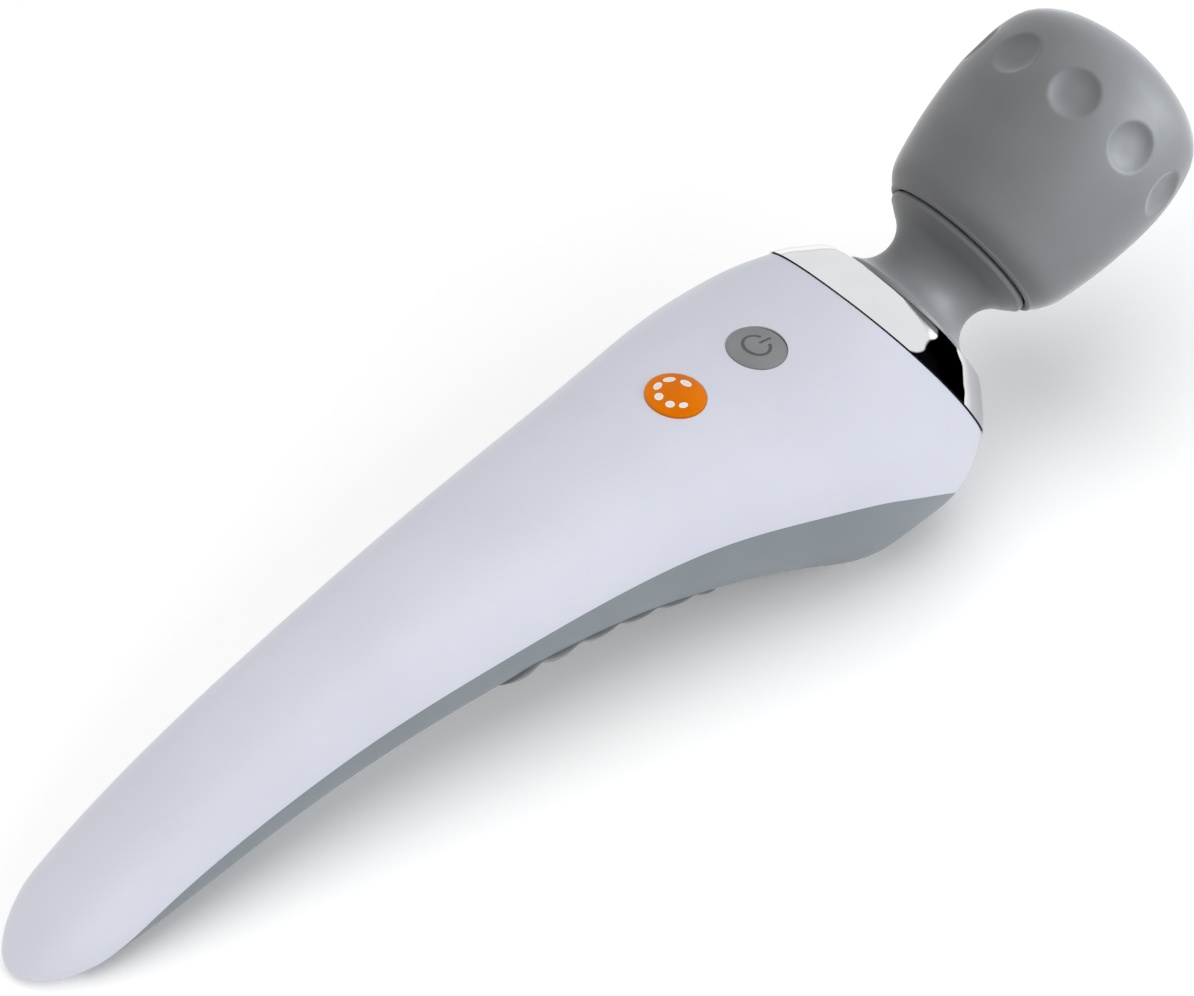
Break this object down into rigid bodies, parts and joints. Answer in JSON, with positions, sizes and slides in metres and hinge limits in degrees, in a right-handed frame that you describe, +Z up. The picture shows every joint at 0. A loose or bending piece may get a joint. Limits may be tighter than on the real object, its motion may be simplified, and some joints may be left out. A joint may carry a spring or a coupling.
{
  "type": "handheld wand massager",
  "caption": "Cordless wand massager with a rounded silicone vibrating head on a flexible neck, chrome collar, curved two-tone handle with ridged grip and push buttons.",
  "frame": {"origin": "the middle of the flat on the belly, on the table plane and the symmetry plane", "axes": "+Z up with the wand lying on its back and the buttons up, +X along the handle towards the head, +Y to the left of someone looking towards the head"},
  "size_m": [0.3164, 0.08, 0.096],
  "materials": {
    "white_shell": "satin white moulded ABS",
    "grey_shell": "satin grey moulded ABS",
    "grip_rubber": "ridged soft grip rubber",
    "head_silicone": "soft-touch silicone",
    "chrome": "mirror chrome plating on plastic",
    "gasket_rubber": "black gasket rubber",
    "power_key_plastic": "satin grey key",
    "mode_key_plastic": "satin orange key with six pale dots",
    "pod_plastic": "glass-filled plastic",
    "nylon": "natural nylon",
    "steel": "machined steel",
    "brass": "turned brass",
    "copper": "enamelled copper winding",
    "nickel": "nickel strip",
    "magnet": "ferrite magnet",
    "cell_wrap": "lithium-ion cell in blue shrink wrap",
    "foam": "closed-cell foam",
    "board": "green solder mask",
    "black_plastic": "black moulded plastic",
    "wire_red": "red insulation",
    "wire_black": "black insulation"
  },
  "bodies": {
    "handle": {"battery_cell_left": "cell_wrap", "battery_cell_right": "cell_wrap", "battery_cradle": "nylon", "battery_foam": "foam", "battery_lead_negative": "wire_black", "battery_lead_positive": "wire_red", "battery_plug": "nylon", "board_screw_1": "steel", "board_screw_2": "steel", "board_screw_3": "steel", "board_screw_4": "steel", "boost_coil": "copper", "case_screw_1": "steel", "case_screw_2": "steel", "case_screw_3": "steel", "charge_jack": "black_plastic", "charge_pin": "brass", "chrome_collar": "chrome", "circuit_board": "board", "collar_gasket": "gasket_rubber", "control_chip": "black_plastic", "filter_capacitor": "black_plastic", "front_cover": "white_shell", "grip_pad": "grip_rubber", "jack_lead_negative": "wire_black", "jack_lead_positive": "wire_red", "mode_switch_body": "black_plastic", "motor_driver": "black_plastic", "motor_lead_negative": "wire_black", "motor_lead_positive": "wire_red", "neck_socket": "pod_plastic", "negative_tab": "nickel", "positive_tab": "nickel", "power_switch_body": "black_plastic", "rear_cover": "grey_shell", "series_tab": "nickel"},
    "neck_middle": {"neck_boot": "head_silicone", "neck_spring": "steel"},
    "head": {"head_cover": "head_silicone", "head_pod_base": "pod_plastic", "head_pod_top": "pod_plastic", "neck_flange": "pod_plastic", "pod_screw_1": "steel", "pod_screw_2": "steel", "pod_screw_3": "steel", "motor_can": "steel", "motor_end_bell": "nylon", "motor_magnet_left": "magnet", "motor_magnet_right": "magnet", "motor_ring_lower": "nylon", "motor_ring_upper": "nylon", "shaft_bearing": "brass"},
    "rotor": {"motor_shaft": "steel", "motor_armature": "copper", "eccentric_weight": "brass"},
    "power_key": {"power_button": "power_key_plastic", "power_switch_plunger": "black_plastic"},
    "mode_key": {"mode_button": "mode_key_plastic", "mode_switch_plunger": "black_plastic"}
  },
  "joints": [
    {"name": "neck_bend_fore_aft", "type": "hinge", "parent": "handle", "child": "neck_middle", "pos_m": [0.04357, 0, 0.04554], "axis": [0, 1, 0], "range_deg": [-15, 15], "stiffness_Nm_per_rad": 3, "deforming": ["neck_boot", "neck_spring", "motor_lead_positive", "motor_lead_negative"]},
    {"name": "neck_bend_side", "type": "hinge", "parent": "neck_middle", "child": "head", "pos_m": [0.04357, 0, 0.04554], "axis": [-0.454, 0, 0.891], "range_deg": [-15, 15], "stiffness_Nm_per_rad": 3},
    {"name": "motor_spin", "type": "hinge", "parent": "head", "child": "rotor", "pos_m": [0.07601, 0, 0.06207], "axis": [0.891, 0, 0.454], "continuous": true},
    {"name": "power_press", "type": "slide", "parent": "handle", "child": "power_key", "axis": [0, 0, -1], "range_m": [0, 0.0008], "stiffness_N_per_m": 200},
    {"name": "mode_press", "type": "slide", "parent": "handle", "child": "mode_key", "axis": [0, 0, -1], "range_m": [0, 0.0008], "stiffness_N_per_m": 200}
  ]
}
